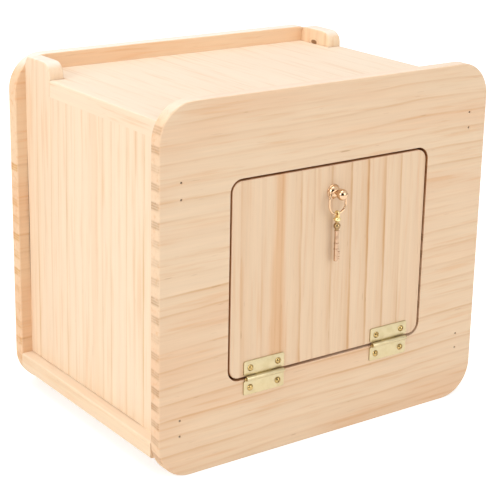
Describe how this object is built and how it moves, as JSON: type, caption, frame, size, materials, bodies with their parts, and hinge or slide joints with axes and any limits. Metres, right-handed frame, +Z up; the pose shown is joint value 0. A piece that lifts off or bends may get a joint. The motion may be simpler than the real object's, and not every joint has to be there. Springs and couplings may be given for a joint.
{
  "type": "wooden money box",
  "caption": "Pine money box with rounded front and back panels, a drop-down emptying door on small brass hinges, a knob with a hanging key, and a money slot in the back.",
  "frame": {"origin": "centre of the whole footprint on the surface the box stands on", "axes": "+X to the right seen from the front, +Y from the front panel to the back panel, +Z up"},
  "size_m": [0.272, 0.2118, 0.25],
  "materials": {
    "pine": "planed pale pine under a thin clear satin finish, edges rounded",
    "hinge_brass": "pale yellow pressed brass",
    "gold_brass": "polished warm gold-toned brass",
    "steel": "plain bright steel",
    "magnet": "nickel-plated magnet"
  },
  "bodies": {
    "case": {"front_panel": "pine", "back_panel": "pine", "left_side": "pine", "right_side": "pine", "top_panel": "pine", "base_panel": "pine", "front_nails": "steel", "back_nails": "steel", "base_nails": "steel", "left_frame_leaf": "hinge_brass", "right_frame_leaf": "hinge_brass", "left_hinge_pin": "hinge_brass", "right_hinge_pin": "hinge_brass", "frame_leaf_screws": "hinge_brass", "door_stop": "pine", "door_stop_screws": "steel", "catch_magnet": "magnet"},
    "door": {"door_panel": "pine", "left_door_leaf": "hinge_brass", "right_door_leaf": "hinge_brass", "door_leaf_screws": "hinge_brass", "knob_rose": "gold_brass", "knob": "gold_brass", "knob_washer": "hinge_brass", "knob_nut": "hinge_brass", "strike_plate": "steel", "strike_screw": "steel"},
    "link": {"pull_link": "gold_brass"},
    "key": {"key": "gold_brass"}
  },
  "joints": [
    {"name": "door_hinge", "type": "hinge", "parent": "case", "child": "door", "pos_m": [0, -0.0945, 0.0583], "axis": [1, 0, 0], "range_deg": [0, 110]},
    {"name": "link_swing", "type": "hinge", "parent": "door", "child": "link", "pos_m": [0, -0.0978, 0.1758], "axis": [0, 1, 0], "range_deg": [-90, 90]},
    {"name": "key_tilt", "type": "hinge", "parent": "link", "child": "key", "pos_m": [0, -0.0978, 0.16155], "axis": [-1, 0, 0], "range_deg": [-3.5, 100]}
  ]
}
